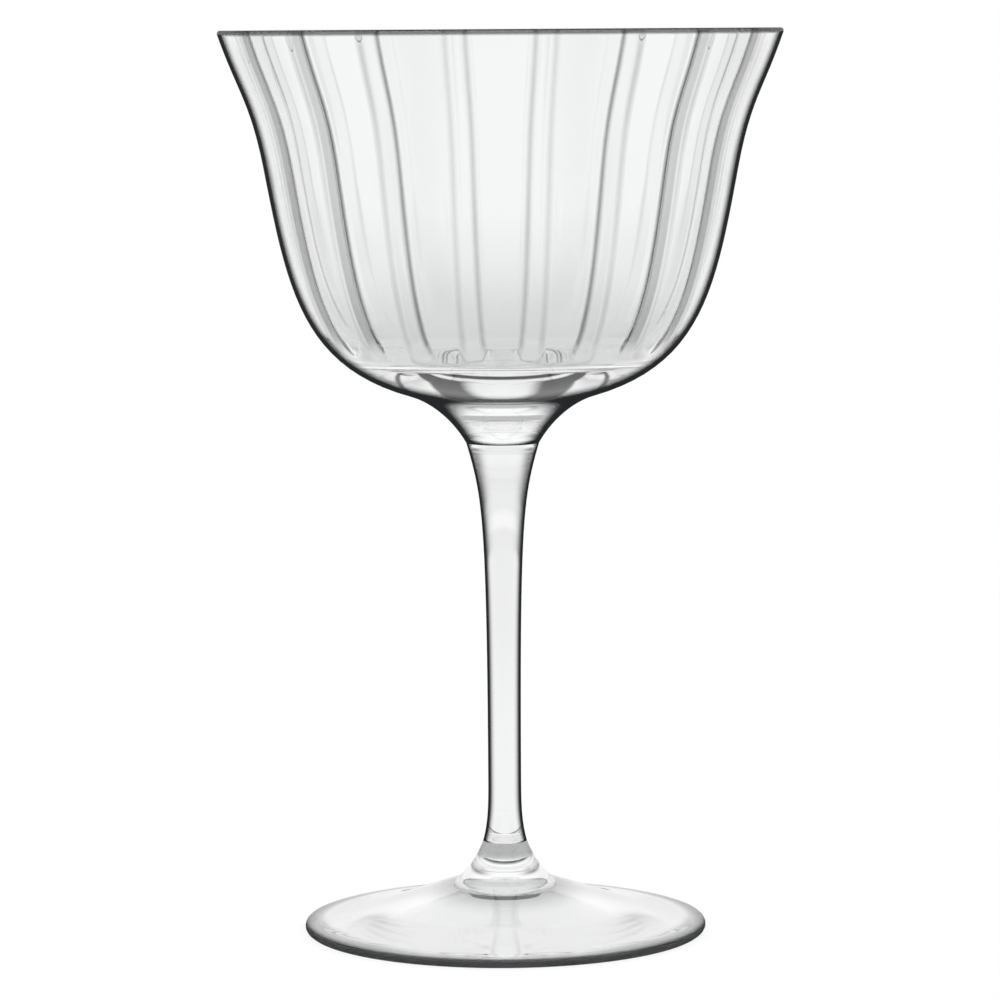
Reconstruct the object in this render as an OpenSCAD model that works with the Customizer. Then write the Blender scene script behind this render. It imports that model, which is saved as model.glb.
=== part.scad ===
// Stemmed fizz glass with a flared bowl that is fluted on the inside.
// Three pieces of clear glass: the blown bowl, the drawn stem and the pressed foot.
// They are welded hot, face to face, at the two ends of the stem, so nothing on it moves.
// Millimetres, +Z up, origin on the table under the middle of the foot.
//
// Every outline runs downwards as a chain of smooth legs. A lean is the angle from upright
// at which an outline runs inwards as it goes down, and a negative lean runs outwards.
// A pull is the share of a leg's length over which the lean at that end is kept.

/* [Whole glass] */
// Height from the table to the rim
glass_h = 150; // [140:0.5:160]

/* [Bowl, outside] */
// Height of the bowl, from its weld on the stem up to the rim
bowl_h = 68.2; // [64:0.1:74]
// Outer diameter at the rim
rim_d = 93; // [88:0.5:100]
// Lean of the wall at the rim
rim_lean = 18.8; // [14:0.2:26]
// Pull of the rim's lean
rim_pull = 0.42; // [0.2:0.01:0.5]
// Outer diameter of the side, below the flare
side_d = 78.1; // [75:0.1:83]
// Depth of that diameter below the rim
side_drop = 22.9; // [19:0.1:27]
// Lean of the side there
side_lean = 10.4; // [7:0.2:14]
// Pull of the side's lean, upwards
side_pull_up = 0.49; // [0.2:0.01:0.5]
// Pull of the side's lean, downwards
side_pull_down = 0.455; // [0.3:0.005:0.5]
// Outer diameter where the underside turns down into the neck
under_d = 31.3; // [28:0.1:36]
// Height of that diameter above the weld
under_h = 8; // [6.5:0.1:9]
// Lean of the underside there
under_lean = 73.8; // [66:0.2:78]
// Pull of the underside's lean, out towards the side
under_pull_out = 0.41; // [0.3:0.01:0.5]
// Pull of the underside's lean, in towards the neck
under_pull_in = 0.315; // [0.15:0.005:0.4]
// Lean of the neck at the weld
neck_lean = 30; // [20:1:36]
// Pull of the neck's lean
neck_pull = 0.36; // [0.25:0.01:0.5]

/* [Bowl, inside] */
// Number of flutes round the inside
flute_count = 20; // [16:1:24]
// Depth of a flute below the ribs beside it
flute_depth = 0.3; // [0.2:0.05:0.6]
// Thickness of the wall behind a flute
flute_wall = 1.2; // [0.9:0.05:1.6]
// Width of the rib between two flutes, at half its height
rib_w = 3.2; // [2.6:0.1:4]
// Width of the slope on each side of a rib
shoulder_w = 1.6; // [1:0.1:2.4]
// Length over which a flute runs out at its lower end
flute_end = 5; // [3:0.1:8]
// Inner diameter at the heel, where the wall turns into the floor
heel_d = 53.5; // [50:0.1:56]
// Height of the heel above the floor
heel_h = 1.6; // [1.2:0.1:2.4]
// Lean of the inner wall at the heel
heel_lean = 44.4; // [38:0.2:52]
// Pull of the heel's lean, up the wall
heel_pull_up = 0.28; // [0.2:0.01:0.4]
// Pull of the heel's lean, down to the floor
heel_pull_down = 0.4; // [0.3:0.01:0.5]
// Pull of the side's lean, down the inner wall
belly_pull = 0.46; // [0.35:0.01:0.55]
// Diameter of the flat floor
floor_d = 47; // [42:0.1:49]
// Pull of the floor, out towards the heel
floor_pull = 0.4; // [0.3:0.01:0.5]
// Thickness of the glass under the floor, down to the weld
floor_t = 14.2; // [13.4:0.1:15.4]
// Radius of the lip's outer rounding
lip_r = 0.5; // [0.3:0.05:0.7]
// Bevel of the lip's inner edge
lip_bevel = 0.25; // [0.15:0.05:0.35]

/* [Stem] */
// Diameter of the weld between the bowl and the stem
neck_d = 12.1; // [10:0.1:15]
// Lean of the stem just under that weld
head_lean = 16; // [10:1:24]
// Pull of that lean
head_pull = 0.165; // [0.1:0.005:0.25]
// Diameter of the stem at its waist
waist_d = 5.5; // [4.6:0.1:6.4]
// Height of the waist above the weld on the foot
waist_h = 10; // [6:0.5:20]
// Pull of the waist, up the long taper
waist_pull_up = 0.79; // [0.5:0.01:0.82]
// Pull of the waist, down to the foot
waist_pull_down = 0.45; // [0.2:0.01:0.5]
// Diameter of the weld between the stem and the foot
boss_d = 7.3; // [6.6:0.1:8.4]
// Lean of the stem's lower end
tail_lean = -15; // [-22:1:-8]
// Pull of that lean
tail_pull = 0.3; // [0.15:0.01:0.4]

/* [Foot] */
// Diameter of the foot
foot_d = 67; // [62:0.2:72]
// Height of the foot's boss, from the table to the weld
foot_h = 15; // [13.5:0.1:17]
// Lean of the boss at the weld
boss_lean = -21; // [-28:1:-12]
// Pull of that lean
boss_pull = 0.55; // [0.4:0.01:0.6]
// Diameter of the foot's instep, where the boss runs out into the plate
instep_d = 17.4; // [15:0.2:20]
// Height of the instep
instep_h = 8.3; // [7.8:0.1:9.2]
// Lean of the plate at the instep
instep_lean = -72; // [-76:0.5:-68]
// Pull of the instep, up into the boss
instep_pull_in = 0.12; // [0.08:0.01:0.3]
// Pull of the instep, out along the plate
instep_pull_out = 0.5; // [0.3:0.01:0.55]
// Thickness of the plate's rounded edge
edge_t = 1.9; // [1.6:0.1:2.6]
// Lean of the plate at its edge
plate_lean = -82.5; // [-85:0.5:-78]
// Pull of that lean
plate_pull = 0.45; // [0.3:0.01:0.5]
// Width of the flat ring that the foot stands on
ring_w = 2.6; // [1.5:0.1:5]
// Height of the hollow under the foot, round the button in its middle
hollow_h = 5.8; // [5:0.1:6.2]
// Diameter of the button's flat underside
button_d = 11.2; // [9:0.2:12.4]
// Height by which the button hangs down into the hollow
button_h = 1.5; // [0.8:0.1:2.8]
// Width of the slope round the button
button_w = 1.2; // [0.6:0.1:1.8]

/* [Hidden] */
// Straight steps in one leg of an outline, and in the small rounding of an edge
leg_steps = 14;
edge_steps = 8;
// Steps of the inner wall: in the flare, in the belly and round the heel
flare_steps = 8;
belly_steps = 15;
heel_steps = 4;
// How far the cavity's cutter stands above the rim, in bevels
over_rim = 2;
// Lean of a level line
level = 90;

top_weld_z = glass_h - bowl_h;
floor_z = top_weld_z + floor_t;
rib_wall = flute_wall + flute_depth;
edge_r = edge_t / 2;
edge_x = foot_d / 2 - edge_r;

// Points of the outlines, as [radius, height]
lip_middle = [rim_d / 2 - lip_r, glass_h - lip_r];
rim = lip_middle + lip_r * [cos(rim_lean), -sin(rim_lean)];
side = [side_d / 2, glass_h - side_drop];
under = [under_d / 2, top_weld_z + under_h];
neck = [neck_d / 2, top_weld_z];
rib_rim = [rim_d / 2 - rib_wall / cos(rim_lean), glass_h - lip_bevel];
rib_side = side + into(side_lean) * rib_wall;
heel = [heel_d / 2, floor_z + heel_h];
floor_edge = [floor_d / 2, floor_z];
waist = [waist_d / 2, foot_h + waist_h];
boss = [boss_d / 2, foot_h];
instep = [instep_d / 2, instep_h];
edge_middle = [edge_x, edge_r];
plate_end = edge_middle + edge_r * [cos(plate_lean), -sin(plate_lean)];
ring_edge = [edge_x - ring_w, 0];
button = [button_d / 2, hollow_h - button_h];
hollow_top = button + [button_w, button_h];

$fn = 200;

// Directions along an outline and square to it, for a lean
function down(lean) = [-sin(lean), -cos(lean)];
function into(lean) = [-cos(lean), sin(lean)];

// A point on a cubic curve, and the curve's direction there
function on_curve(p, a, b, q, t) =
    p * pow(1 - t, 3) + a * 3 * t * pow(1 - t, 2) + b * 3 * t * t * (1 - t) + q * pow(t, 3);
function along_curve(p, a, b, q, t) =
    (a - p) * pow(1 - t, 2) + (b - a) * 2 * t * (1 - t) + (q - b) * t * t;
function unit(v) = v / norm(v);

// The handles of a leg from p down to q
function handle_p(p, q, lean, pull) = p + down(lean) * pull * norm(q - p);
function handle_q(p, q, lean, pull) = q - down(lean) * pull * norm(q - p);

// The points of a leg, without its last one
function leg(p, q, lean_p, pull_p, lean_q, pull_q) =
    let (a = handle_p(p, q, lean_p, pull_p), b = handle_q(p, q, lean_q, pull_q))
    [for (i = [0 : leg_steps - 1]) on_curve(p, a, b, q, i / leg_steps)];

// An arc of radius r round a middle, without its last point
function arc(middle, r, from, to) =
    [for (i = [0 : edge_steps - 1])
        let (a = from + (to - from) * i / edge_steps)
        middle + r * [cos(a), sin(a)]];

// The same points, the other way round
function back(points) = [for (i = [len(points) - 1 : -1 : 0]) points[i]];

bowl_outline = concat(
    [[0, glass_h]],
    arc(lip_middle, lip_r, 90, -rim_lean),
    leg(rim, side, rim_lean, rim_pull, side_lean, side_pull_up),
    leg(side, under, side_lean, side_pull_down, under_lean, under_pull_out),
    leg(under, neck, under_lean, under_pull_in, neck_lean, neck_pull),
    [neck, [0, top_weld_z]]);

stem_outline = concat(
    [[0, top_weld_z]],
    leg(neck, waist, head_lean, head_pull, 0, waist_pull_up),
    leg(waist, boss, 0, waist_pull_down, tail_lean, tail_pull),
    [boss, [0, foot_h]]);

// The underside keeps the plate's curve, so that the plate is about equally thick all over
foot_outline = concat(
    [[0, foot_h]],
    leg(boss, instep, boss_lean, boss_pull, instep_lean, instep_pull_in),
    leg(instep, plate_end, instep_lean, instep_pull_out, plate_lean, plate_pull),
    arc(edge_middle, edge_r, -plate_lean, -90),
    [[edge_x, 0], ring_edge],
    back(leg(hollow_top, ring_edge, instep_lean, instep_pull_out, plate_lean, plate_pull)),
    [button, [0, button[1]]]);

// The line that the ribs' crests follow inside the bowl, as [point, outward direction], from
// the floor's edge up to above the rim
function crest_leg(p, q, lean_p, pull_p, lean_q, pull_q, steps) =
    let (a = handle_p(p, q, lean_p, pull_p), b = handle_q(p, q, lean_q, pull_q))
    [for (i = [steps : -1 : 1])
        let (t = i / steps, u = unit(along_curve(p, a, b, q, t)))
        [on_curve(p, a, b, q, t), [-u[1], u[0]]]];

rim_out = [1 / cos(rim_lean), 0];
crest = concat(
    crest_leg(heel, floor_edge, heel_lean, heel_pull_down, level, floor_pull, heel_steps),
    crest_leg(rib_side, heel, side_lean, belly_pull, heel_lean, heel_pull_up, belly_steps),
    crest_leg(rib_rim, rib_side, rim_lean, rim_pull, side_lean, side_pull_up, flare_steps),
    [[rib_rim, rim_out], [rib_rim + lip_bevel * over_rim * [1, 1], rim_out]]);

// A smooth step from 0 to 1
function ease(x) = let (c = max(min(x, 1), 0)) c * c * (3 - 2 * c);

// How far a point of the wall is up a flute's lower end, from 0 at the heel to 1 above that end
function up_end(p) = p[1] <= heel[1] ? 0 : min(norm(p - heel) / flute_end, 1);

// Width of a flute and its rib at a radius
function pitch(radius) = 2 * PI * radius / flute_count;

// The places across one flute that need a point, as a share of its pitch from a rib's middle:
// both ends and the middle of each shoulder, and the middles of the rib and of the flute
function places(radius) =
    let (slope = [for (k = [-1 : 1]) (rib_w + k * shoulder_w) / (2 * pitch(radius))])
    concat([0], slope, [0.5], back([for (s = slope) 1 - s]));

// Depth of a flute at a place across it
function hollow(p, place) =
    let (half = (pitch(p[0]) - rib_w) / 2)
    let (inside = half - abs(place - 0.5) * pitch(p[0]))
    flute_depth * ease(up_end(p)) * ease(inside / shoulder_w + 0.5);

// One ring of the cavity at a point of the crest line, with a flute in the middle of the front
function ring(p, out) =
    [for (k = [0 : flute_count - 1], place = places(p[0]))
        let (turn = (k + place + 0.5) * 360 / flute_count - 90)
        let (q = p + out * hollow(p, place))
        [q[0] * cos(turn), q[0] * sin(turn), q[1]]];

// The space inside the bowl: rings from the floor to above the rim, closed by two flat ends
module cavity() {
    rings = [for (c = crest) ring(c[0], c[1])];
    around = len(rings[0]);
    last = len(rings) - 1;
    points = [for (r = rings) each r];
    walls = [for (i = [0 : last - 1], j = [0 : around - 1])
        let (n = (j + 1) % around, low = i * around, high = low + around)
        each [[low + j, high + j, high + n], [low + j, high + n, low + n]]];
    floor_end = [[for (j = [0 : around - 1]) j]];
    rim_end = [[for (j = [around - 1 : -1 : 0]) last * around + j]];
    polyhedron(points, concat(walls, floor_end, rim_end));
}

module bowl() {
    color("azure")
        difference() {
            rotate_extrude() polygon(bowl_outline);
            cavity();
        }
}

module stem() {
    color("lightcyan") rotate_extrude() polygon(stem_outline);
}

module foot() {
    color("aliceblue") rotate_extrude() polygon(foot_outline);
}

bowl();
stem();
foot();
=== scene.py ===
"""Looks of a stemmed fizz glass: a fluted bowl, a slim stem and a round foot, all of clear glass."""

import math

import bpy
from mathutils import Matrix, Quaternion, Vector


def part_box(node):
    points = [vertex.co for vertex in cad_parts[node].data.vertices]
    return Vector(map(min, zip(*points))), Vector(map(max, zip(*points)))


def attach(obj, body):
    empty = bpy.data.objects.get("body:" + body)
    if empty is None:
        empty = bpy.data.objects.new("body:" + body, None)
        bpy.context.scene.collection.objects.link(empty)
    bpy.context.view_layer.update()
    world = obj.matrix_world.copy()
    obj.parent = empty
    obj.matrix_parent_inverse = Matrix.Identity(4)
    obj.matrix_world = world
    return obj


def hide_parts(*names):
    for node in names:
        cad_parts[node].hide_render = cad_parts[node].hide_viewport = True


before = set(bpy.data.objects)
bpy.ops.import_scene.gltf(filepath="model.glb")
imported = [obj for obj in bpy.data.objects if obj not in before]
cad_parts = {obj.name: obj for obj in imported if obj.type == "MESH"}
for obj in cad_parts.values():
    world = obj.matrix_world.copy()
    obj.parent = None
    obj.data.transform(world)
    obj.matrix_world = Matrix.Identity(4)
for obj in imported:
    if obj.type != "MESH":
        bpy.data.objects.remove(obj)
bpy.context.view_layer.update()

bl_info = {
    "name": "Fizz Glass",
    "version": (1, 0, 0),
    "blender": (4, 5, 0),
    "location": "View3D > Sidebar > Fizz Glass",
    "description": "Makes the bowl, stem and foot of a stemmed fizz glass, and a bright studio round it",
    "category": "Add Mesh",
}

BOWL_LOW, BOWL_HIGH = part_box("bowl")
FOOT_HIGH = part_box("foot")[1]

BODY = "root"
WHITE = (1, 1, 1, 1)

# Steps along the legs and arcs of an outline, across the bowl's floor and round the axis
LEG_STEPS = 22
FLARE_STEPS = 12
BELLY_STEPS = 34
NECK_STEPS = 14
ARC_STEPS = 7
FLOOR_STEPS = 5
AROUND = 240
# Shares of a flute's width, from the middle of a rib, and how many points each stretch has
FLUTE_STRETCHES = ((0.0, 0.04, 1), (0.04, 0.3, 14), (0.3, 0.5, 4))
# Whole turns that are added before a turn's fraction is taken, so that it is never negative
WHOLE_TURNS = 100

GLASS_INDEX = 1.52
# Height and spacing of the faint ripples of worked glass, on wide pieces and on the slim stem
WIDE_RIPPLE = (0.00002, 0.02)
SLIM_RIPPLE = (0.00001, 0.01)
RIPPLE_DETAIL = 2.0
# Share of the lamps' light that passes each surface of the glass
LAMP_SHARE = 0.93
# Light that a thick piece of glass traps needs this many bounces to find its way out
LIGHT_BOUNCES = 40
# Heights above the weld between which the neck is painted dark for rays mirrored within the glass, as
# painted dark reflections
PAINTED_NECK_REFLECTIONS = ((0.0026, 0.0033), (0.0038, 0.0048), (0.0065, 0.0069))
# Heights above the weld between which the neck shows painted grey streaks
PAINTED_NECK_STREAKS = ((0.0043, 0.0053), (0.0067, 0.0081))
# Half the height over which such a band fades
BAND_SOFT = 0.00015
# Share by which a painted dark outline's limit is blurred to both sides
EDGE_SOFT = 0.3
# Least and greatest facing share below which a surface is painted dark as an outline
LEAST_SHADE = 0.001
MOST_SHADE = 0.7
# Facing share below which the top of the foot's plate is painted dark as a thin outline
PLATE_SHADE = 0.02
# Rise on the foot's rounded edge, from -1 to 1, up to which it is painted fully dark
EDGE_DARK = 0.45
# How much of that painted shade shows from within the glass
EDGE_INSIDE = 0.9
# Share of the height of the boss's painted grey over which that grey fades
BOSS_FADE = 1 / 3
# A rib's painted shade comes in between these turns away from the eye
RIB_TURNS = (0.03, 0.6)
# A ray inside the glass runs squarer to the surface than the same ray outside, by this much
INSIDE_TURN = 1.8
# How much faster a rib's painted shade comes in on a wall that tilts away
TILT_GAIN = 7.0
# Angle at which the eye looks down on the glass
EYE_DROP = math.radians(6)
# Share of a rib's painted shade that shows on the far side of the bowl
FAR_RIB = 0.15

# Rises above the horizon, as sines, between which the cards' feet begin and turn to white
FOOT_RISE = (-0.01, 0.02)
CARD_RISE = (0.12, 0.3)
# The light above the cards is full at this many times the rise of their top edge
CARD_TOP_SOFT = 2.5
# Half the rise over which the flags' top edge fades
FLAG_SOFT = 0.15
# Distances from the glass, in metres, between which the floor's tones change
UNDER_REACH = (0.05, 0.2)
SHADOW_REACH = (0.15, 0.5)
NEAR_REACH = (0.9, 1.3)
FAR_REACH = (1.7, 2.9)
# Share of the floor's brightness near the glass that no shadow takes away
NEAR_GLOW = 0.75
# The floor's fibres: how fine they are, and the limits of the noise that makes them
GRAIN_SCALE = 900.0
GRAIN_DETAIL = 3.0
GRAIN_LIMITS = (0.3, 0.7)
FLOOR_T = 0.004
# The floor lies this far under the foot, so that the two faces don't coincide
FLOOR_GAP = 0.00002
# Places of the soft lamps, their diameter and the point that they aim at
LAMPS = {
    "lamp_left": (-0.9, -0.5, 1.1),
    "lamp_right": (0.9, -0.5, 1.1),
    "lamp_back": (0.0, 1.0, 1.1),
}
LAMP_D = 0.8
LAMP_AIM = Vector((0, 0, 0.08))
# Width of the camera's sensor in millimetres
SENSOR_MM = 36


def length(name, description, default):
    """A size in metres that a user may change."""
    return bpy.props.FloatProperty(
        name=name, description=description, default=default, unit="LENGTH", precision=5
    )


def angle(name, description, degrees):
    """An angle that a user may change."""
    return bpy.props.FloatProperty(
        name=name, description=description, default=math.radians(degrees), subtype="ANGLE"
    )


def share(name, description, default):
    """A share from 0 to 1 that a user may change."""
    return bpy.props.FloatProperty(
        name=name, description=description, default=default, min=0, max=1, subtype="FACTOR"
    )


def colour(name, description, default):
    """A colour that a user may change."""
    return bpy.props.FloatVectorProperty(
        name=name, description=description, default=default, size=3, min=0, max=1, subtype="COLOR"
    )


class BowlSizes(bpy.types.PropertyGroup):
    """Sizes of the bowl, and the painted shade on it. Leans are from upright."""

    rim_z: length("Rim height", "Height of the rim above the table", BOWL_HIGH.z)
    weld_z: length("Weld height", "Height of the weld on the stem above the table", BOWL_LOW.z)
    rim_d: length("Rim diameter", "Outer diameter at the rim", 0.093)
    rim_lean: angle("Rim lean", "Lean of the wall at the rim", 18.8)
    rim_pull: share("Rim pull", "Share of the flare that keeps the rim's lean", 0.42)
    side_d: length("Side diameter", "Outer diameter of the side below the flare", 0.0781)
    side_drop: length("Side depth", "Depth of that diameter below the rim", 0.0229)
    side_lean: angle("Side lean", "Lean of the side there", 10.4)
    side_pull_up: share("Side pull up", "Share of the flare that keeps the side's lean", 0.49)
    side_pull_down: share("Side pull down", "Share of the belly that keeps the side's lean", 0.455)
    under_d: length("Underside diameter", "Outer diameter where the underside turns down", 0.0313)
    under_h: length("Underside height", "Height of that diameter above the weld", 0.008)
    under_lean: angle("Underside lean", "Lean of the underside there", 73.8)
    under_pull_out: share("Underside pull out", "Share of the belly that keeps that lean", 0.41)
    under_pull_in: share("Underside pull in", "Share of the neck that keeps that lean", 0.315)
    neck_d: length("Neck diameter", "Diameter of the weld on the stem", 0.0121)
    neck_lean: angle("Neck lean", "Lean of the neck at the weld", 30)
    neck_pull: share("Neck pull", "Share of the neck that keeps its lean", 0.36)
    flutes: bpy.props.IntProperty(
        name="Flutes", description="Number of flutes round the inside", default=20, min=3
    )
    flute_depth: length("Flute depth", "Depth of a flute below its ribs", 0.0003)
    flute_wall: length("Flute wall", "Thickness of the wall behind a flute", 0.0012)
    flute_end: length("Flute end", "Length over which a flute runs out at its lower end", 0.005)
    rib_w: length("Rib width", "Width of a rib between two flutes", 0.0032)
    shoulder_w: length("Shoulder width", "Width of the sloped shoulder of a rib", 0.0016)
    heel_d: length("Heel diameter", "Inner diameter where the wall turns into the floor", 0.0535)
    heel_h: length("Heel height", "Height of the heel above the floor", 0.0016)
    heel_lean: angle("Heel lean", "Lean of the inner wall at the heel", 44.4)
    heel_pull_up: share("Heel pull up", "Share of the belly that keeps that lean", 0.28)
    heel_pull_down: share("Heel pull down", "Share of the corner that keeps that lean", 0.4)
    belly_pull: share("Belly pull", "Share of the inner belly that keeps the side's lean", 0.46)
    floor_d: length("Floor diameter", "Diameter of the flat floor inside", 0.047)
    floor_t: length("Floor thickness", "Glass under the floor, down to the weld", 0.0142)
    floor_pull: share("Floor pull", "Share of the corner that keeps the floor level", 0.4)
    # The thick lower end of the bowl is painted grey, standing in for the darker surroundings that the
    # glass bends into view
    painted_belly_grey: share("Belly tint", "How grey the thick lower end of the wall looks", 0.26)
    painted_belly_grey_h: length("Belly tint height", "Height above the floor at which that grey begins", 0.016)
    # Painted dark reflections in the neck, seen by rays mirrored within the glass
    painted_neck_reflection: share("Neck tint", "How dark the bands round the neck look from within the glass", 0.95)
    # Painted grey streaks round the neck, seen from outside
    painted_neck_streak: share("Streak tint", "How grey the streaks round the neck look from outside", 0.45)
    lip_r: length("Lip radius", "Radius of the lip's rounding", 0.0005)
    # The thick rounded lip is painted dark, standing in for the light that its rounding bends away
    painted_lip_dark: share("Lip tint", "How dark the thick rounded lip looks", 0.75)
    lip_fade: length("Lip fade", "Distance below the lip over which that tint fades", 0.0004)
    # The bowl's dark outline is painted on, standing in for the dark surroundings that the glass bends into
    # view; these are its widths
    rim_line: length("Rim line", "Width of the dark outline at the rim", 0.0009)
    neck_line: length("Neck line", "Width of the dark outline at the neck", 0.001)


class StemSizes(bpy.types.PropertyGroup):
    """Sizes of the stem. Its ends take theirs from the bowl's neck and the foot's boss."""

    head_lean: angle("Head lean", "Lean of the stem just under the bowl", 16)
    head_pull: share("Head pull", "Share of the taper that keeps that lean", 0.165)
    waist_d: length("Waist diameter", "Diameter of the stem at its waist", 0.0055)
    waist_h: length("Waist height", "Height of the waist above the foot's weld", 0.01)
    waist_pull_up: share("Waist pull up", "Share of the taper that stays upright", 0.79)
    waist_pull_down: share("Waist pull down", "Share of the lower end that stays upright", 0.45)
    tail_lean: angle("Tail lean", "Lean of the stem just above the foot", -15)
    tail_pull: share("Tail pull", "Share of the lower end that keeps that lean", 0.3)
    # The stem's dark outline is painted on; this is its width
    side_line: length("Side line", "Width of the dark outline of the stem", 0.0006)


class FootSizes(bpy.types.PropertyGroup):
    """Sizes of the foot, and the painted shade on it."""

    foot_d: length("Foot diameter", "Diameter of the foot", 0.067)
    boss_z: length("Boss height", "Height of the weld on the stem above the table", FOOT_HIGH.z)
    boss_d: length("Boss diameter", "Diameter of the weld on the stem", 0.0073)
    boss_lean: angle("Boss lean", "Lean of the boss at the weld", -21)
    boss_pull: share("Boss pull", "Share of the boss that keeps that lean", 0.55)
    instep_d: length("Instep diameter", "Diameter where the boss meets the plate", 0.0174)
    instep_h: length("Instep height", "Height of the instep", 0.0083)
    instep_lean: angle("Instep lean", "Lean of the plate at the instep", -72)
    instep_pull_in: share("Instep pull in", "Share of the boss that keeps that lean", 0.12)
    instep_pull_out: share("Instep pull out", "Share of the plate that keeps that lean", 0.5)
    edge_t: length("Edge thickness", "Thickness of the plate's rounded edge", 0.0019)
    plate_lean: angle("Plate lean", "Lean of the plate at its edge", -82.5)
    plate_pull: share("Plate pull", "Share of the plate that keeps that lean", 0.45)
    ring_w: length("Ring width", "Width of the ring that the foot stands on", 0.0026)
    hollow_h: length("Hollow height", "Height of the hollow under the foot, round its button", 0.0058)
    button_d: length("Button diameter", "Diameter of the thick button in the middle of the hollow", 0.0112)
    button_h: length("Button height", "Height by which the button stands out of the hollow", 0.0015)
    button_w: length("Button slope", "Width of the slope round the button", 0.0012)
    # The foot's rounded edge is painted dark, and the plate beside it painted grey, standing in for the
    # dark surroundings that the thick glass bends into view
    painted_edge_shade: share("Edge tint", "How dark the plate's thick rounded edge looks", 0.95)
    painted_fringe_grey: share("Fringe tint", "How grey the plate looks beside that edge", 0.06)
    fringe_w: length("Fringe width", "Width over which that grey fades on the plate", 0.004)
    # The slope round the button is painted dark, its end painted grey, and the hollow beside it has a
    # painted grey shadow
    painted_button_dark: share("Button tint", "How dark the slope round the button looks", 0.9)
    button_fade: length("Button fade", "Width over which that tint fades on the button", 0.0003)
    painted_button_grey: share("Button grey", "How grey the button's end looks from within the glass", 0.25)
    painted_hollow_shadow: share("Hollow tint", "How grey the hollow looks beside its button, from within", 0.5)
    painted_hollow_shadow_w: length("Hollow tint width", "Width over which that grey fades", 0.0075)
    # The top of the boss, under the weld, is painted grey
    painted_boss_grey: share("Boss tint", "How grey the top of the boss looks, under the weld", 0.45)
    painted_boss_grey_h: length("Boss tint height", "Height of that grey", 0.0028)


class GlassLooks(bpy.types.PropertyGroup):
    """Colours of the clear glass, and the painted shade of its outlines and ribs."""

    clear: colour("Clear", "Colour of the glass seen squarely", (0.985, 0.99, 0.99))
    # The glass is painted this dark colour where it is seen edge on: a painted outline in place of the dark
    # surroundings that the glass bends into view
    edge: colour("Edge", "Colour of the glass seen edge on", (0.02, 0.022, 0.024))
    # The ribs' slopes and tops are painted dark, standing in for the dark lines that they bend into view
    painted_rib_grey: share("Rib tint", "How dark a rib's slopes look, seen squarely", 0.22)
    painted_rib_edge: share("Rib edge", "How much darker a rib's slopes look, seen edge on", 0.5)
    rib_top: share("Rib top", "How dark a rib's top looks, seen edge on", 0.55)
    index: bpy.props.FloatProperty(
        name="Index", description="Index of refraction of the glass", default=GLASS_INDEX, min=1, max=2
    )


class StudioLooks(bpy.types.PropertyGroup):
    """Tones of the studio, its lamps and its camera."""

    paper: colour("Paper", "Colour of the floor", (0.93, 0.93, 0.93))
    fibre: colour("Fibre", "Colour of the floor's fibres", (0.89, 0.89, 0.89))
    card_half: angle("Card half width", "Turn at which a card is half as bright as in its middle", 33)
    card_fall: bpy.props.FloatProperty(
        name="Card fall-off", description="How fast a card's sides darken", default=6.0, min=1
    )
    card_top: share("Card top", "Rise of the cards' top edge, where the light above begins", 0.03)
    side_tone: share("Side tone", "Brightness between the cards", 0.35)
    flag_tone: share("Flag tone", "Brightness of the tall flags between the cards", 0.1)
    flag_top: share("Flag top", "Rise of the flags' top edge, where the light above begins", 0.8)
    # The floor under the foot is painted darker for rays through the glass: a painted shadow
    painted_foot_shadow: share("Foot tone", "Brightness of the floor under the foot, as the glass shows it", 0.88)
    near_tone: share("Near tone", "Brightness of the floor near the glass, as the glass shows it", 0.86)
    horizon_tone: share("Horizon tone", "Brightness of the cards' feet, as the glass shows them", 0.84)
    far_tone: share("Far tone", "Brightness of the floor far away, as the glass shows it", 0.94)
    floor_r: length("Floor radius", "Radius of the floor", 3.0)
    lamp_power: bpy.props.FloatProperty(
        name="Lamp power", description="Power of each soft lamp", default=2.0, min=0, unit="POWER"
    )
    camera_distance: length("Camera distance", "Distance of the camera from the glass", 0.7488)
    camera_lens: bpy.props.FloatProperty(
        name="Lens", description="Focal length of the camera in millimetres", default=163.2
    )
    camera_roll: angle("Camera roll", "Roll of the camera", 0.35)
    aim_x: length("Aim across", "Point that the camera aims at, across", -0.0005)
    aim_z: length("Aim height", "Point that the camera aims at, above the table", 0.0722)


class Station:
    """One point of an outline, and what its ring of the mesh carries.

    flute_half is half the width of a flute at this radius, and out is the way into the wall, as long as
    the share of a flute's depth that is pressed here. shade is the facing share below which the surface
    is painted dark as an outline, painted_shade is how dark the painted shade looks from outside, inside
    is how much of that painted shade shows from within the glass, and tilt is the facing share that the
    wall's own lean gives. A flat weld face lies between a sharp station and the pole beside it."""

    def __init__(self, r, z, flute_half=0.0, out=(0.0, 0.0), shade=0.0, painted_shade=0.0, inside=0.0, tilt=0.0):
        self.r = r
        self.z = z
        self.flute_half = flute_half
        self.out = out
        self.shade = shade
        self.painted_shade = painted_shade
        self.inside = inside
        self.tilt = tilt
        self.sharp = False


# Names of the mesh attributes that hold a station's values
POINT_VALUES = {
    "flute_half": "flute_half",
    "edge_shade": "shade",
    "painted_edge_shade": "painted_shade",
    "painted_inside": "inside",
    "tilt": "tilt",
}


def down(lean):
    """Direction of an outline that runs downwards at a lean from upright."""
    return Vector((-math.sin(lean), -math.cos(lean)))


def into(lean):
    """Direction square to such an outline, towards the axis."""
    return Vector((-math.cos(lean), math.sin(lean)))


def into_wall(along):
    """Direction square to an outline that runs along this way, towards the axis."""
    return Vector((along.y, -along.x))


def ease(x):
    """A smooth step from 0 to 1."""
    x = min(max(x, 0.0), 1.0)
    return x * x * (3 - 2 * x)


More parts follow.
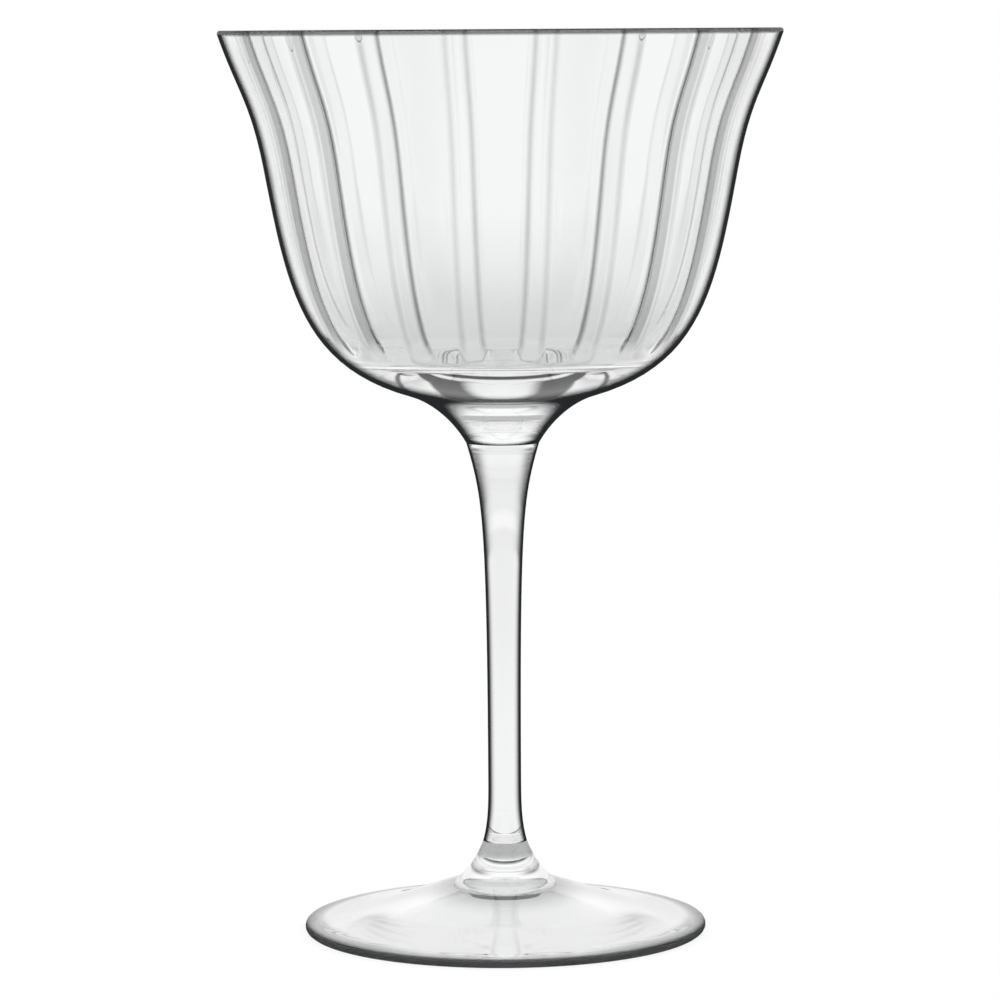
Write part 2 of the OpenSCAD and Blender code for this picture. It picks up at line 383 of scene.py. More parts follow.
def leg(p, q, lean_p, pull_p, lean_q, pull_q, steps=LEG_STEPS):
    """Points and directions of a smooth leg of an outline, from p down to q."""
    span = (q - p).length
    a = p + down(lean_p) * pull_p * span
    b = q - down(lean_q) * pull_q * span
    found = []
    for i in range(steps + 1):
        t = i / steps
        s = 1 - t
        point = p * s**3 + a * (3 * s * s * t) + b * (3 * s * t * t) + q * t**3
        along = (a - p) * (s * s) + (b - a) * (2 * s * t) + (q - b) * (t * t)
        found.append((point, along.normalized()))
    return found


def leg_points(*values):
    """The points of a leg, without directions."""
    return [point for point, _ in leg(*values)]


def arc(middle, radius, start, end):
    """Points of an arc, in degrees, round a middle."""
    turns = [math.radians(start + (end - start) * i / ARC_STEPS) for i in range(ARC_STEPS + 1)]
    return [middle + radius * Vector((math.cos(a), math.sin(a))) for a in turns]


def stations(points, painted_shade=0.0, inside=0.0):
    """Plain stations at these points, with the painted shade given."""
    return [Station(p.x, p.y, painted_shade=painted_shade, inside=inside) for p in points]


def even_turns(count):
    """Angles evenly spread round the axis, from the front."""
    return [2 * math.pi * k / count for k in range(count)]


def flute_turns(flutes):
    """Angles that crowd together on the shoulders of the ribs, with a flute in the middle of the front."""
    half = [a + (b - a) * i / count for a, b, count in FLUTE_STRETCHES for i in range(count)]
    places = half + [0.5] + [1 - u for u in reversed(half[1:])]
    return [2 * math.pi * (k + u + 0.5) / flutes for k in range(flutes) for u in places]


def line_shade(line, r, along):
    """The facing share that gives a painted dark outline this width on a turned surface of radius r."""
    return min(math.sqrt(2 * line * math.sqrt(abs(along.y)) / max(r, line)), MOST_SHADE)


def wall_tilt(along):
    """The facing share that a wall running along this way has in front, for a ray inside the glass."""
    lean = math.atan2(-along.x, -along.y) + EYE_DROP
    return 1 - math.sqrt(1 - (math.sin(lean) / GLASS_INDEX) ** 2)


def flute_half(s, r):
    """Half the width of a flute between two ribs, on a wall of radius r."""
    return max(math.pi * r / s.flutes - s.rib_w / 2, 0)


def bowl_outline(s):
    """The bowl's outline, from the weld up the outside, over the lip and down to the floor."""
    rib_wall = s.flute_wall + s.flute_depth
    lean = math.degrees(s.rim_lean)
    lip_z = s.rim_z - s.lip_r
    lip_out = -into(s.rim_lean)
    rim = Vector((s.rim_d / 2, lip_z)) + s.lip_r * (lip_out - Vector((1, 0)))
    side = Vector((s.side_d / 2, s.rim_z - s.side_drop))
    under = Vector((s.under_d / 2, s.weld_z + s.under_h))
    neck = Vector((s.neck_d / 2, s.weld_z))
    outside = leg(rim, side, s.rim_lean, s.rim_pull, s.side_lean, s.side_pull_up, FLARE_STEPS)[:-1]
    outside += leg(side, under, s.side_lean, s.side_pull_down, s.under_lean, s.under_pull_out)[:-1]
    outside += leg(under, neck, s.under_lean, s.under_pull_in, s.neck_lean, s.neck_pull, NECK_STEPS)
    made = [Station(0, s.weld_z)]
    for p, along in reversed(outside):
        low_share = (s.rim_z - p.y) / (s.rim_z - s.weld_z)
        line = s.rim_line + (s.neck_line - s.rim_line) * low_share
        made.append(Station(p.x, p.y, shade=line_shade(line, p.x, along)))
    made[1].sharp = True
    # The lip's painted dark shade fades between the rim and a station just below it
    below = rim + down(s.rim_lean) * s.lip_fade
    made[-1:] = [Station(below.x, below.y, shade=made[-1].shade), made[-1]]
    made[-1].painted_shade = s.painted_lip_dark
    made += stations(arc(Vector((s.rim_d / 2 - s.lip_r, lip_z)), s.lip_r, -lean, 90)[1:], s.painted_lip_dark)
    inner_rim = rim + into(s.rim_lean) * rib_wall
    lip = arc(inner_rim + lip_out * s.lip_r, s.lip_r, 90, 180 - lean)[:-1]
    # The inner rounding is stretched upwards to meet the outer one at the top
    lift = Vector((0, s.rim_z - lip[0].y)) / (lip[0].y - inner_rim.y)
    lip = [p + lift * (p.y - inner_rim.y) for p in lip]
    rim_half = flute_half(s, inner_rim.x)
    made += [Station(p.x, p.y, rim_half, lip_out, painted_shade=s.painted_lip_dark) for p in lip]
    inner_side = side + into(s.side_lean) * rib_wall
    floor_z = s.weld_z + s.floor_t
    heel = Vector((s.heel_d / 2, floor_z + s.heel_h))
    floor_edge = Vector((s.floor_d / 2, floor_z))
    inside = leg(
        inner_rim, inner_side, s.rim_lean, s.rim_pull, s.side_lean, s.side_pull_up, FLARE_STEPS
    )[:-1]
    inside += leg(inner_side, heel, s.side_lean, s.belly_pull, s.heel_lean, s.heel_pull_up, BELLY_STEPS)
    inside[1:1] = [(inner_rim + down(s.rim_lean) * s.lip_fade, inside[0][1])]
    for p, along in inside[:-1]:
        deep = ease((p - heel).length / s.flute_end)
        # Painted grey shade on the lower end of the wall, fading out upwards
        painted_shade = s.painted_belly_grey * ease(1 - (p.y - floor_z) / s.painted_belly_grey_h)
        out = -into_wall(along) * deep
        made.append(Station(p.x, p.y, flute_half(s, p.x), out, painted_shade=painted_shade, tilt=wall_tilt(along)))
    corner = leg_points(
        heel, floor_edge, s.heel_lean, s.heel_pull_down, math.pi / 2, s.floor_pull, ARC_STEPS
    )
    floor = [Vector((floor_edge.x * (1 - i / FLOOR_STEPS), floor_z)) for i in range(1, FLOOR_STEPS + 1)]
    # The corner and the floor inside take the full painted grey
    return made + stations(corner + floor, s.painted_belly_grey)


def stem_outline(s, bowl, foot):
    """The stem's outline, from its lower weld up to the upper one."""
    neck = Vector((bowl.neck_d / 2, bowl.weld_z))
    waist = Vector((s.waist_d / 2, foot.boss_z + s.waist_h))
    boss = Vector((foot.boss_d / 2, foot.boss_z))
    sides = leg(neck, waist, s.head_lean, s.head_pull, 0, s.waist_pull_up)[:-1]
    sides += leg(waist, boss, 0, s.waist_pull_down, s.tail_lean, s.tail_pull)
    made = [Station(0, foot.boss_z)]
    for p, along in reversed(sides):
        made.append(Station(p.x, p.y, shade=line_shade(s.side_line, p.x, along)))
    made.append(Station(0, bowl.weld_z))
    made[1].sharp = made[-2].sharp = True
    return made


def foot_outline(s):
    """The foot's outline, from the hollow underside over the edge and up to the weld."""
    edge_r = s.edge_t / 2
    edge_x = s.foot_d / 2 - edge_r
    boss = Vector((s.boss_d / 2, s.boss_z))
    instep = Vector((s.instep_d / 2, s.instep_h))
    edge = arc(Vector((edge_x, edge_r)), edge_r, -math.degrees(s.plate_lean), -90)
    plate = leg_points(boss, instep, s.boss_lean, s.boss_pull, s.instep_lean, s.instep_pull_in)[:-1]
    plate += leg_points(
        instep, edge[0], s.instep_lean, s.instep_pull_out, s.plate_lean, s.plate_pull
    )[:-1]
    ring_edge = Vector((edge_x - s.ring_w, 0))
    button = Vector((s.button_d / 2, s.hollow_h - s.button_h))
    slope = Vector((s.button_w, s.button_h))
    under = leg_points(
        button + slope, ring_edge, s.instep_lean, s.instep_pull_out, s.plate_lean, s.plate_pull
    )
    fade = Vector((s.button_fade, 0))
    # The button's end is painted grey, its slope painted dark, and the hollow round it takes a painted
    # shadow that fades outwards
    made = stations([Vector((0, button.y)), button - fade], s.painted_button_grey, 1.0)
    made += stations([button, under[0]], s.painted_button_dark)
    for p in under[1:]:
        painted_shade = s.painted_hollow_shadow * (1 - ease((p.x - under[0].x) / s.painted_hollow_shadow_w))
        made.append(Station(p.x, p.y, painted_shade=painted_shade, inside=1.0))
    # The rounded edge is painted dark, fading to the plate's painted grey fringe
    for p in reversed(edge):
        rise = (p.y - edge_r) / edge_r
        faded = ease((rise - EDGE_DARK) / (1 - EDGE_DARK))
        painted_shade = s.painted_edge_shade + (s.painted_fringe_grey - s.painted_edge_shade) * faded
        made.append(Station(p.x, p.y, painted_shade=painted_shade, inside=EDGE_INSIDE))
    # The top of the boss is painted grey, and the plate beside the edge takes the painted grey fringe
    for p in reversed(plate):
        painted_shade = s.painted_boss_grey * ease((p.y - s.boss_z + s.painted_boss_grey_h) / (s.painted_boss_grey_h * BOSS_FADE))
        painted_shade += s.painted_fringe_grey * (1 - ease((edge[0].x - p.x) / s.fringe_w))
        made.append(Station(p.x, p.y, shade=PLATE_SHADE, painted_shade=painted_shade))
    made.append(Station(0, s.boss_z))
    made[-2].sharp = True
    return made


def turned_mesh(name, outline, turns):
    """A closed mesh turned round the Z axis from an outline that starts and ends on the axis."""
    verts, outs, owners, rings, faces, welds = [], [], [], [], [], []
    around = len(turns)
    for st in outline:
        first = len(verts)
        for turn in turns if st.r > 0 else turns[:1]:
            x, y = math.sin(turn), -math.cos(turn)
            verts.append((st.r * x, st.r * y, st.z))
            outs += (st.out[0] * x, st.out[0] * y, st.out[1])
            owners.append(st)
        rings.append(list(range(first, len(verts))))
    for i in range(len(rings) - 1):
        low, high = rings[i], rings[i + 1]
        weld = (len(low) == 1 and outline[i + 1].sharp) or (len(high) == 1 and outline[i].sharp)
        for k in range(around):
            n = (k + 1) % around
            if len(low) == 1:
                faces.append((low[0], high[n], high[k]))
            elif len(high) == 1:
                faces.append((low[k], low[n], high[0]))
            else:
                faces.append((low[k], low[n], high[n], high[k]))
            welds.append(weld)
    mesh = bpy.data.meshes.new(name)
    mesh.from_pydata(verts, [], faces)
    mesh.polygons.foreach_set("use_smooth", [not w for w in welds])
    for attribute, field in POINT_VALUES.items():
        values = [getattr(st, field) for st in owners]
        mesh.attributes.new(attribute, "FLOAT", "POINT").data.foreach_set("value", values)
    mesh.attributes.new("flute_out", "FLOAT_VECTOR", "POINT").data.foreach_set("vector", outs)
    mesh.attributes.new("weld", "BOOLEAN", "FACE").data.foreach_set("value", welds)
    mesh.update()
    return mesh


def new_piece(name, outline, turns):
    """A new object at the origin with the mesh that is turned from this outline."""
    piece = bpy.data.objects.new(name, turned_mesh(name, outline, turns))
    bpy.context.scene.collection.objects.link(piece)
    return piece


def dress(piece, glass, weld):
    """Glass all over, and the weld's material on the weld faces."""
    mesh = piece.data
    mesh.materials.append(glass)
    mesh.materials.append(weld)
    welds = [False] * len(mesh.polygons)
    mesh.attributes["weld"].data.foreach_get("value", welds)
    mesh.polygons.foreach_set("material_index", [int(w) for w in welds])


def settle(piece, node):
    """The finished piece stands for a CAD node and rides on the body."""
    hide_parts(node)
    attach(piece, BODY)


def set_input(tree, socket, value):
    """Links a socket to an output, or sets its value."""
    if isinstance(value, bpy.types.NodeSocket):
        tree.links.new(value, socket)
    else:
        socket.default_value = value


def add_node(tree, kind, **inputs):
    """A new node of a tree. Values and links are given by the input's name, or n0, n1 by number."""
    node = tree.nodes.new(kind)
    for key, value in inputs.items():
        plain = key.replace("_", " ")
        socket = node.inputs[int(key[1:])] if key[1:].isdigit() else node.inputs[plain]
        set_input(tree, socket, value)
    return node


def maths(tree, operation, *values):
    """The output of a Math node."""
    node = tree.nodes.new("ShaderNodeMath")
    node.operation = operation
    for socket, value in zip(node.inputs, values):
        set_input(tree, socket, value)
    return node.outputs[0]


def plus(tree, a, b):
    """The sum of two values."""
    return maths(tree, "ADD", a, b)


def minus(tree, a, b):
    """The first value less the second."""
    return maths(tree, "SUBTRACT", a, b)


def times(tree, a, b):
    """The product of two values."""
    return maths(tree, "MULTIPLY", a, b)


def over(tree, a, b):
    """The first value divided by the second."""
    return maths(tree, "DIVIDE", a, b)


def greater(tree, a, b):
    """The greater of two values."""
    return maths(tree, "MAXIMUM", a, b)


def vector_maths(tree, operation, vector):
    """A Vector Math node on this vector."""
    node = add_node(tree, "ShaderNodeVectorMath", n0=vector)
    node.operation = operation
    return node


def ramp(tree, value, limits, ends=(0.0, 1.0)):
    """The output of a smooth Map Range node, from one end to the other between these limits."""
    node = add_node(
        tree, "ShaderNodeMapRange", Value=value, From_Min=limits[0], From_Max=limits[1],
        To_Min=ends[0], To_Max=ends[1],
    )
    node.interpolation_type = "SMOOTHSTEP"
    return node.outputs["Result"]


def grey(value):
    """A grey of this brightness."""
    return (value, value, value, 1)


def mixed(tree, factor, first, second):
    """The colour between two colours."""
    node = tree.nodes.new("ShaderNodeMix")
    node.data_type = "RGBA"
    set_input(tree, node.inputs["Factor"], factor)
    for socket, value in ((node.inputs[6], first), (node.inputs[7], second)):
        set_input(tree, socket, value)
    return node.outputs[2]


def named_value(tree, name):
    """The value of a mesh attribute in a material."""
    node = tree.nodes.new("ShaderNodeAttribute")
    node.attribute_name = name
    return node.outputs["Fac"]


def new_material(name):
    """An empty node material, with its tree and its output node."""
    material = bpy.data.materials.new(name)
    material.use_nodes = True
    tree = material.node_tree
    tree.nodes.clear()
    return material, tree, tree.nodes.new("ShaderNodeOutputMaterial")


class Sight:
    """How a ray meets the glass. Each value is 0 or 1, apart from facing, which is 1 seen edge on."""

    def __init__(self, tree):
        path = tree.nodes.new("ShaderNodeLightPath").outputs
        mirrored = path["Is Reflection Ray"]
        self.lamp = path["Is Shadow Ray"]
        # A blend of a half leaves the facing share as it is
        self.facing = add_node(tree, "ShaderNodeLayerWeight", Blend=0.5).outputs["Facing"]
        self.inside = tree.nodes.new("ShaderNodeNewGeometry").outputs["Backfacing"]
        self.direct = minus(tree, 1.0, mirrored)
        self.outside = times(tree, self.direct, minus(tree, 1.0, self.inside))
        self.mirrored_inside = times(tree, mirrored, self.inside)


def painted_edge_darkness(tree, sight):
    """How dark the painted outlines and the stations' painted shade make the glass."""
    limit = greater(tree, named_value(tree, "edge_shade"), LEAST_SHADE)
    limits = (times(tree, limit, 1 - EDGE_SOFT), times(tree, limit, 1 + EDGE_SOFT))
    # Painted dark outline where the surface turns edge on
    edge_on = ramp(tree, minus(tree, 1.0, sight.facing), limits, (1.0, 0.0))
    # Painted shade of the stations, seen from outside, and from within where the station lets it show
    within = times(tree, named_value(tree, "painted_inside"), sight.direct)
    painted = times(tree, named_value(tree, "painted_edge_shade"), greater(tree, sight.outside, within))
    return greater(tree, times(tree, edge_on, sight.outside), painted)


def painted_rib_shade(tree, sight, looks):
    """How dark the slopes and the tops of the ribs are painted, the more so the further they turn aside:
    painted shade in place of the dark lines that the ribs bend into view.
    """
    tilt = named_value(tree, "tilt")
    gain = plus(tree, times(tree, tilt, TILT_GAIN), 1.0)
    bent = plus(tree, times(tree, sight.inside, INSIDE_TURN), 1.0)
    turn = times(tree, times(tree, minus(tree, sight.facing, tilt), gain), bent)
    turned = ramp(tree, turn, RIB_TURNS)
    painted_slope_grey = plus(tree, times(tree, turned, looks.painted_rib_edge), looks.painted_rib_grey)
    slope = times(tree, named_value(tree, "rib_slope"), painted_slope_grey)
    # The tops of the ribs are painted dark as well, the more so edge on
    top = times(tree, named_value(tree, "rib_top"), times(tree, turned, looks.rib_top))
    near = plus(tree, times(tree, sight.inside, 1 - FAR_RIB), FAR_RIB)
    return times(tree, times(tree, greater(tree, slope, top), near), sight.direct)


def raised(bands, rise):
    """The same bands, higher by this much."""
    return [[height + rise for height in band] for band in bands]


def band_share(tree, height, bands):
    """1 on the bands between these pairs of heights, and 0 elsewhere."""
    share_on = 0.0
    for low, high in bands:
        rise = ramp(tree, height, (low - BAND_SOFT, low + BAND_SOFT))
        fall = ramp(tree, height, (high - BAND_SOFT, high + BAND_SOFT), (1.0, 0.0))
        share_on = greater(tree, share_on, times(tree, rise, fall))
    return share_on


def clear_glass(name, looks, ripple, marks=()):
    """Clear glass that is painted dark where it is seen edge on and where painted shade is given, with
    the faint ripple of worked glass.

    Each mark holds bands of height, how dark they are painted, and the name of the rays of Sight that
    see them."""
    material, tree, output = new_material(name)
    place = tree.nodes.new("ShaderNodeTexCoord").outputs["Object"]
    height, spacing = ripple
    noise = add_node(tree, "ShaderNodeTexNoise", Vector=place, Scale=1 / spacing, Detail=RIPPLE_DETAIL)
    bump = add_node(tree, "ShaderNodeBump", Height=noise.outputs[0], Strength=1.0, Distance=height)
    sight = Sight(tree)
    darkness = greater(tree, painted_edge_darkness(tree, sight), painted_rib_shade(tree, sight, looks))
    # Bands of painted shade round the neck: painted reflections and painted streaks
    for bands, painted_shade, rays in marks:
        above = add_node(tree, "ShaderNodeSeparateXYZ", n0=place).outputs["Z"]
        banded = times(tree, band_share(tree, above, bands), getattr(sight, rays))
        darkness = greater(tree, darkness, times(tree, banded, painted_shade))
    glass = add_node(tree, "ShaderNodeBsdfPrincipled", Normal=bump.outputs[0])
    glass.inputs["Base Color"].default_value = (*looks.clear, 1)
    glass.inputs["Roughness"].default_value = 0.0
    glass.inputs["IOR"].default_value = looks.index
    glass.inputs["Transmission Weight"].default_value = 1.0
    # A dark diffuse, mixed in as painted shade: painted outlines, painted greys and painted reflections
    dark = tree.nodes.new("ShaderNodeBsdfDiffuse")
    dark.inputs["Color"].default_value = (*looks.edge, 1)
    lamp_light = tree.nodes.new("ShaderNodeBsdfTransparent")
    lamp_light.inputs["Color"].default_value = grey(LAMP_SHARE)
    shaded = add_node(tree, "ShaderNodeMixShader", n0=darkness, n1=glass.outputs[0], n2=dark.outputs[0])
    mix = add_node(
        tree, "ShaderNodeMixShader", n0=sight.lamp, n1=shaded.outputs[0], n2=lamp_light.outputs[0]
    )
    tree.links.new(mix.outputs[0], output.inputs["Surface"])
    return material


def weld_glass(name):
    """Two welded faces let light pass straight through."""
    material, tree, output = new_material(name)
    through = tree.nodes.new("ShaderNodeBsdfTransparent")
    through.inputs["Color"].default_value = WHITE
    tree.links.new(through.outputs[0], output.inputs["Surface"])
    return material


def flute_tree():
    """Geometry Nodes that press evenly spaced flutes into a turned wall."""
    tree = bpy.data.node_groups.new("Fluted Wall", "GeometryNodeTree")
    for name, kind in (
        ("Wall", "Geometry"), ("Flutes", "Int"), ("Flute Depth", "Float"), ("Shoulder Width", "Float"),
        ("Glass", "Material"), ("Weld", "Material"),
    ):
        tree.interface.new_socket(name, in_out="INPUT", socket_type="NodeSocket" + kind)
    tree.interface.new_socket("Bowl", in_out="OUTPUT", socket_type="NodeSocketGeometry")
    given = tree.nodes.new("NodeGroupInput").outputs
    result = tree.nodes.new("NodeGroupOutput")

    def attribute(name, kind):
        node = add_node(tree, "GeometryNodeInputNamedAttribute", Name=name)
        node.data_type = kind
        return node.outputs["Attribute"]

    position = tree.nodes.new("GeometryNodeInputPosition").outputs[0]
    at = add_node(tree, "ShaderNodeSeparateXYZ", n0=position).outputs
    radius = maths(tree, "SQRT", plus(tree, times(tree, at[0], at[0]), times(tree, at[1], at[1])))
    turn = over(tree, maths(tree, "ARCTAN2", at[0], times(tree, at[1], -1.0)), 2 * math.pi)
    # Place across a flute, from 0 on one rib to 1 on the next, with a flute in the middle of the front
    place = maths(tree, "FRACT", plus(tree, times(tree, turn, given["Flutes"]), WHOLE_TURNS + 0.5))
    pitch = over(tree, times(tree, radius, 2 * math.pi), given["Flutes"])
    from_middle = times(tree, maths(tree, "ABSOLUTE", minus(tree, place, 0.5)), pitch)
    inside = minus(tree, attribute("flute_half", "FLOAT"), from_middle)
    half_shoulder = times(tree, given["Shoulder Width"], 0.5)
    pressed_share = ramp(tree, inside, (times(tree, half_shoulder, -1.0), half_shoulder))
    on_rib = minus(tree, 1.0, pressed_share)
    # 1 in the middle of a rib's slope, and 0 on the rib and in the flute
    slope = times(tree, times(tree, pressed_share, 4.0), on_rib)
    flute_out = attribute("flute_out", "FLOAT_VECTOR")
    push = vector_maths(tree, "SCALE", flute_out)
    set_input(tree, push.inputs["Scale"], times(tree, pressed_share, given["Flute Depth"]))
    deep = vector_maths(tree, "LENGTH", flute_out).outputs["Value"]
    wall = given["Wall"]
    # These rib masks carry the ribs' painted shade into the material
    for name, value in (("rib_slope", slope), ("rib_top", on_rib)):
        stored = times(tree, value, deep)
        wall = add_node(
            tree, "GeometryNodeStoreNamedAttribute", Geometry=wall, Name=name, Value=stored
        ).outputs[0]
    pressed = add_node(tree, "GeometryNodeSetPosition", Geometry=wall, Offset=push.outputs[0])
    real = add_node(tree, "GeometryNodeRealizeInstances", Geometry=pressed.outputs[0])
    glassed = add_node(tree, "GeometryNodeSetMaterial", Geometry=real.outputs[0], Material=given["Glass"])
    welded = add_node(tree, "GeometryNodeSetMaterial", Geometry=glassed.outputs[0],
                      Selection=attribute("weld", "BOOLEAN"), Material=given["Weld"])
    tree.links.new(welded.outputs[0], result.inputs["Bowl"])
    return tree


def apply_tree(piece, tree, values):
    """Runs a Geometry Nodes tree on a piece with these named inputs, and keeps the plain mesh."""
    modifier = piece.modifiers.new(tree.name, "NODES")
    modifier.node_group = tree
    for item in tree.interface.items_tree:
        if item.name in values:
            modifier[item.identifier] = values[item.name]
    depsgraph = bpy.context.evaluated_depsgraph_get()
    made = bpy.data.meshes.new_from_object(piece.evaluated_get(depsgraph), depsgraph=depsgraph)
    made.name = piece.name
    piece.modifiers.clear()
    piece.data = made


def glass_seen(tree):
    """1 for a ray that glass has bent or mirrored, and 0 for any other."""
    path = tree.nodes.new("ShaderNodeLightPath").outputs
    return greater(tree, path["Is Glossy Ray"], path["Is Transmission Ray"])


def card_tone(tree, across, along, looks):
    """White cards stand at every quarter turn, and their sides fall off smoothly into the dark."""
    quarter = math.radians(90)
    turn = over(tree, maths(tree, "ARCTAN2", across, along), quarter)
    near = minus(tree, maths(tree, "FRACT", plus(tree, turn, WHOLE_TURNS + 0.5)), 0.5)
    off = over(tree, maths(tree, "ABSOLUTE", near), looks.card_half / quarter)
    return over(tree, 1.0, plus(tree, 1.0, maths(tree, "POWER", off, looks.card_fall)))


def studio_world(looks):
    """White for the eye. The glass sees the cards, the flags between them, and a soft light above."""
    world = bpy.data.worlds.new("studio")
    world.use_nodes = True
    tree = world.node_tree
    tree.nodes.clear()
    output = tree.nodes.new("ShaderNodeOutputWorld")
    direction = tree.nodes.new("ShaderNodeTexCoord").outputs["Generated"]
    way = add_node(tree, "ShaderNodeSeparateXYZ", n0=direction).outputs
    rise = way[2]
    card = card_tone(tree, way[0], way[1], looks)
    foot = mixed(tree, ramp(tree, rise, FOOT_RISE), grey(looks.far_tone), grey(looks.horizon_tone))
    middle = mixed(tree, ramp(tree, rise, CARD_RISE), foot, WHITE)
    low = mixed(tree, card, grey(looks.side_tone), middle)
    high = mixed(tree, card, grey(looks.flag_tone), middle)
    open_sky = ramp(tree, rise, (looks.flag_top - FLAG_SOFT, looks.flag_top + FLAG_SOFT))
    above = ramp(tree, rise, (looks.card_top, CARD_TOP_SOFT * looks.card_top))
    tone = mixed(tree, above, low, mixed(tree, open_sky, high, WHITE))
    seen = add_node(tree, "ShaderNodeBackground", Color=tone, Strength=1.0)
    plain = add_node(tree, "ShaderNodeBackground", Color=WHITE, Strength=1.0)
    mix = add_node(
        tree, "ShaderNodeMixShader", n0=glass_seen(tree), n1=plain.outputs[0], n2=seen.outputs[0]
    )
    tree.links.new(mix.outputs[0], output.inputs["Surface"])
    return world


def paper_floor(looks):
    """Pale paper that shows as white, takes a soft shadow near the glass and rises into the cards. Under
    the foot, rays through the glass see it painted darker, as a painted shadow.
    """
    material, tree, output = new_material("floor_paper")
    place = tree.nodes.new("ShaderNodeTexCoord").outputs["Object"]
    at = add_node(tree, "ShaderNodeSeparateXYZ", n0=place).outputs
    reach = vector_maths(tree, "LENGTH", place).outputs["Value"]
    grain = add_node(tree, "ShaderNodeTexNoise", Vector=place, Scale=GRAIN_SCALE, Detail=GRAIN_DETAIL)
    fibres = ramp(tree, grain.outputs[0], GRAIN_LIMITS)
    paper = add_node(
        tree, "ShaderNodeBsdfDiffuse", Color=mixed(tree, fibres, (*looks.paper, 1), (*looks.fibre, 1))
    )
    beyond = ramp(tree, reach, NEAR_REACH)
    middle = mixed(tree, beyond, grey(looks.near_tone), grey(looks.horizon_tone))
    middle = mixed(tree, ramp(tree, reach, FAR_REACH), middle, grey(looks.far_tone))
    sides = mixed(tree, beyond, WHITE, grey(looks.side_tone))
    cards = mixed(tree, card_tone(tree, at[0], at[1], looks), sides, middle)
    # Painted shadow under the foot, seen through the glass
    cards = mixed(tree, ramp(tree, reach, UNDER_REACH), grey(looks.painted_foot_shadow), cards)
    by_glass = glass_seen(tree)
    bright = add_node(
        tree, "ShaderNodeEmission", Color=mixed(tree, by_glass, WHITE, cards), Strength=1.0
    )
    by_eye = tree.nodes.new("ShaderNodeLightPath").outputs["Is Camera Ray"]
    glow = ramp(tree, reach, SHADOW_REACH, (NEAR_GLOW, 1.0))
    lit = times(tree, greater(tree, by_eye, by_glass), glow)
    mix = add_node(tree, "ShaderNodeMixShader", n0=lit, n1=paper.outputs[0], n2=bright.outputs[0])
    tree.links.new(mix.outputs[0], output.inputs["Surface"])
    return material


def add_lamps(scene, power):
    """Soft round lamps that the glass itself doesn't show."""
    for name, spot in LAMPS.items():
        lamp = bpy.data.lights.new(name, "AREA")
        lamp.shape = "DISK"
        lamp.size = LAMP_D
        lamp.energy = power
        holder = bpy.data.objects.new(name, lamp)
        holder.visible_glossy = holder.visible_transmission = False
        holder.location = spot
        holder.rotation_euler = (LAMP_AIM - holder.location).to_track_quat("-Z", "Y").to_euler()
        scene.collection.objects.link(holder)


def add_camera(scene, looks, eye_z):
    """The camera, at the height of the rim."""
    eye = bpy.data.cameras.new("camera")
    eye.lens = looks.camera_lens
    eye.sensor_width = SENSOR_MM
    camera = bpy.data.objects.new("camera", eye)
    camera.location = (looks.aim_x, -looks.camera_distance, eye_z)
    sight = Vector((looks.aim_x, 0, looks.aim_z)) - camera.location
    roll = Quaternion((0, 0, 1), -looks.camera_roll)
    camera.rotation_euler = (sight.to_track_quat("-Z", "Y") @ roll).to_euler()
    scene.collection.objects.link(camera)
    scene.camera = camera


class FIZZ_OT_bowl(bpy.types.Operator):
    """Makes the fluted bowl"""

    bl_idname = "fizz.bowl"
    bl_label = "Bowl"

    def execute(self, context):
        scene = context.scene
        sizes = scene.fizz_bowl
        piece = new_piece("fluted_bowl", bowl_outline(sizes), flute_turns(sizes.flutes))
        # Painted dark reflections in the neck and painted grey streaks round it
        marks = (
            (raised(PAINTED_NECK_REFLECTIONS, sizes.weld_z), sizes.painted_neck_reflection, "mirrored_inside"),
            (raised(PAINTED_NECK_STREAKS, sizes.weld_z), sizes.painted_neck_streak, "outside"),
        )
        values = {
            "Flutes": sizes.flutes,
            "Flute Depth": sizes.flute_depth,
            "Shoulder Width": sizes.shoulder_w,
            "Glass": clear_glass("bowl_glass", scene.fizz_glass, WIDE_RIPPLE, marks),
            "Weld": weld_glass("bowl_weld"),
        }
        apply_tree(piece, flute_tree(), values)
        settle(piece, "bowl")
        return {"FINISHED"}


class FIZZ_OT_stem(bpy.types.Operator):
    """Makes the solid stem"""

    bl_idname = "fizz.stem"
    bl_label = "Stem"

    def execute(self, context):
        scene = context.scene
        outline = stem_outline(scene.fizz_stem, scene.fizz_bowl, scene.fizz_foot)
        piece = new_piece("drawn_stem", outline, even_turns(AROUND))
        glass = clear_glass("stem_glass", scene.fizz_glass, SLIM_RIPPLE)
        dress(piece, glass, weld_glass("stem_weld"))
        settle(piece, "stem")
        return {"FINISHED"}


class FIZZ_OT_foot(bpy.types.Operator):
    """Makes the pressed foot"""

    bl_idname = "fizz.foot"
    bl_label = "Foot"

    def execute(self, context):
        scene = context.scene
        piece = new_piece("pressed_foot", foot_outline(scene.fizz_foot), even_turns(AROUND))
        glass = clear_glass("foot_glass", scene.fizz_glass, WIDE_RIPPLE)
        dress(piece, glass, weld_glass("foot_weld"))
        settle(piece, "foot")
        return {"FINISHED"}


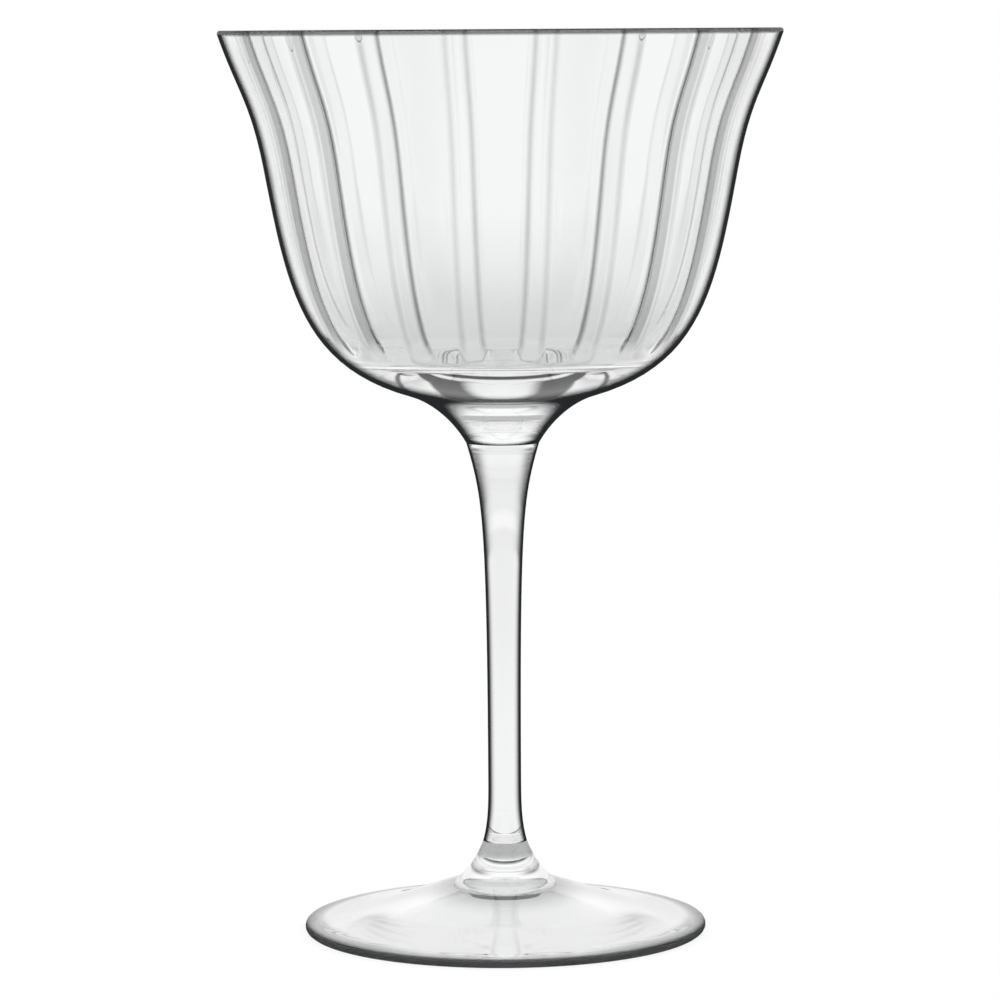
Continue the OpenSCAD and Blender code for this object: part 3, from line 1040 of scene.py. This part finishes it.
class FIZZ_OT_stage(bpy.types.Operator):
    """Sets up the floor, the lamps, the world and the camera"""

    bl_idname = "fizz.stage"
    bl_label = "Stage"

    def execute(self, context):
        scene = context.scene
        looks = scene.fizz_studio
        scene.view_settings.view_transform = "Standard"
        for kind in ("max_bounces", "transmission_bounces", "glossy_bounces"):
            setattr(scene.cycles, kind, LIGHT_BOUNCES)
        scene.world = studio_world(looks)
        corners = ((0, -FLOOR_T), (looks.floor_r, -FLOOR_T), (looks.floor_r, 0), (0, 0))
        outline = [Station(r, z - FLOOR_GAP) for r, z in corners]
        floor = new_piece("floor", outline, even_turns(AROUND))
        floor.data.materials.append(paper_floor(looks))
        add_lamps(scene, looks.lamp_power)
        add_camera(scene, looks, scene.fizz_bowl.rim_z)
        return {"FINISHED"}


class FIZZ_PT_panel(bpy.types.Panel):
    """Lists the pieces of the glass and its stage"""

    bl_idname = "FIZZ_PT_panel"
    bl_label = "Fizz Glass"
    bl_space_type = "VIEW_3D"
    bl_region_type = "UI"
    bl_category = "Fizz Glass"

    def draw(self, context):
        for operator in OPERATORS:
            self.layout.operator(operator.bl_idname)


OPERATORS = (FIZZ_OT_bowl, FIZZ_OT_stem, FIZZ_OT_foot, FIZZ_OT_stage)
GROUPS = {
    "fizz_bowl": BowlSizes,
    "fizz_stem": StemSizes,
    "fizz_foot": FootSizes,
    "fizz_glass": GlassLooks,
    "fizz_studio": StudioLooks,
}


def register():
    for group in GROUPS.values():
        bpy.utils.register_class(group)
    for name, group in GROUPS.items():
        setattr(bpy.types.Scene, name, bpy.props.PointerProperty(type=group))
    for shown in (*OPERATORS, FIZZ_PT_panel):
        bpy.utils.register_class(shown)


def unregister():
    for shown in (FIZZ_PT_panel, *OPERATORS):
        bpy.utils.unregister_class(shown)
    for name, group in GROUPS.items():
        delattr(bpy.types.Scene, name)
        bpy.utils.unregister_class(group)


def main():
    register()
    bpy.ops.fizz.bowl()
    bpy.ops.fizz.stem()
    bpy.ops.fizz.foot()
    bpy.ops.fizz.stage()


if __name__ == "__main__":
    main()
